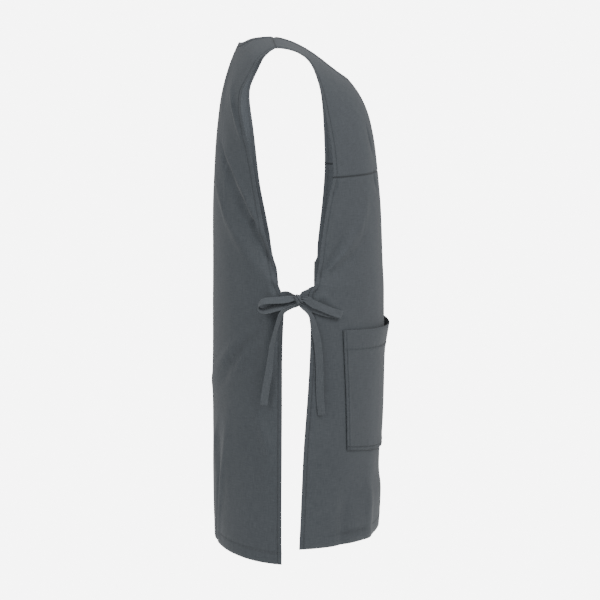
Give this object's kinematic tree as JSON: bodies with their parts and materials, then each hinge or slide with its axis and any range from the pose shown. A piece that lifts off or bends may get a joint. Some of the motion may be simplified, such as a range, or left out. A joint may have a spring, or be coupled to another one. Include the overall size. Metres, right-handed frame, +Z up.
{
  "type": "cobbler apron",
  "caption": "Over-the-head twill work apron with front and back panels joined at the shoulders, open sides, a wide front patch pocket and waist tapes tied in a bow on one side.",
  "frame": {"origin": "midway between the two neck points of the shoulder seams, where the apron hangs on its wearer's shoulders", "axes": "+Z up, -Y towards the front panel, +X towards the wearer's left side"},
  "size_m": [0.401, 0.3, 0.8402],
  "materials": {
    "twill": "matt dark grey polyester-cotton twill",
    "tape": "narrow folded tape of the same dark grey twill"
  },
  "bodies": {
    "root": {"front_yoke": "twill", "front_skirt": "twill", "back_panel": "twill", "front_pocket": "twill", "right_knot": "tape", "right_front_lead": "tape", "right_back_lead": "tape", "right_front_loop": "tape", "right_back_loop": "tape", "right_front_tail": "tape", "right_back_tail": "tape", "left_front_tie": "tape", "left_back_tie": "tape"}
  },
  "joints": []
}
